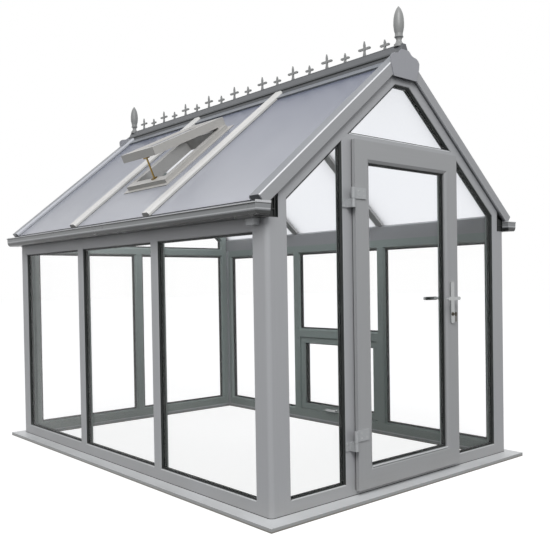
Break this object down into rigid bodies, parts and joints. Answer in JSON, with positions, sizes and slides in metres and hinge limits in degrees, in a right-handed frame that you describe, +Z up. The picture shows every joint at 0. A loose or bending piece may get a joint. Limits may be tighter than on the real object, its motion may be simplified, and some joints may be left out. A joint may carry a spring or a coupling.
{
  "type": "glass greenhouse",
  "caption": "Small glazed garden greenhouse with a pitched translucent roof, a hinged glass door in one gable, an open roof vent, side gutters and a spiked ridge.",
  "frame": {"origin": "centre of the footprint, on the underside of the sill", "axes": "+Z up, the door gable faces -Y, the slope with the roof vent faces -X"},
  "size_m": [2.24, 3.171, 2.7289],
  "materials": {
    "frame": "satin",
    "sill": "satin",
    "glass": "clear",
    "gutter": "satin",
    "roof_bar": "satin",
    "skirt": "matte",
    "ornament": "satin",
    "roof_pane": "translucent",
    "vent": "satin",
    "vent_pane": "translucent",
    "brass": "satin",
    "handle": "gloss",
    "hinge": "satin",
    "lock": "satin"
  },
  "bodies": {
    "house": {"sill_ends": "sill", "sill_sides": "sill", "corner_posts": "frame", "left_wall_rails": "frame", "left_wall_uprights": "frame", "left_wall_glass": "glass", "right_wall_rails": "frame", "right_wall_uprights": "frame", "right_wall_glass": "glass", "window_sash": "frame", "window_glass": "glass", "window_handle": "handle", "rear_gable_rails": "frame", "rear_gable_uprights": "frame", "rear_gable_rafters": "frame", "rear_gable_glass": "glass", "front_gable_rails": "frame", "front_gable_uprights": "frame", "front_gable_rafters": "frame", "front_gable_glass": "glass", "eaves_beams": "frame", "left_gutter": "gutter", "right_gutter": "gutter", "gutter_outlets": "gutter", "left_glazing_bars": "roof_bar", "right_glazing_bars": "roof_bar", "front_verge_bars": "roof_bar", "rear_verge_bars": "roof_bar", "left_roof_panes": "roof_pane", "right_roof_panes": "roof_pane", "ridge_beam": "roof_bar", "ridge_cap": "roof_bar", "ridge_skirts": "skirt", "ridge_cresting": "ornament", "ridge_end_plates": "roof_bar", "finials": "ornament", "vent_kerb": "vent", "vent_sash": "vent", "vent_glazing": "vent_pane", "vent_opener": "brass", "door_hinge_pins": "hinge"},
    "door": {"door_stiles": "frame", "door_rails": "frame", "door_glass": "glass", "door_hinge_flags": "hinge", "door_handle_plates": "handle", "door_lock": "lock"},
    "door_levers": {"door_levers": "handle"}
  },
  "joints": [
    {"name": "door_hinge", "type": "hinge", "parent": "house", "child": "door", "pos_m": [-0.462, -1.541, 1], "axis": [0, 0, -1], "range_deg": [0, 105]},
    {"name": "lever_pivot", "type": "hinge", "parent": "door", "child": "door_levers", "pos_m": [0.402, -1.5, 1.06], "axis": [0, -1, 0], "range_deg": [-40, 40], "stiffness_Nm_per_rad": 6}
  ]
}
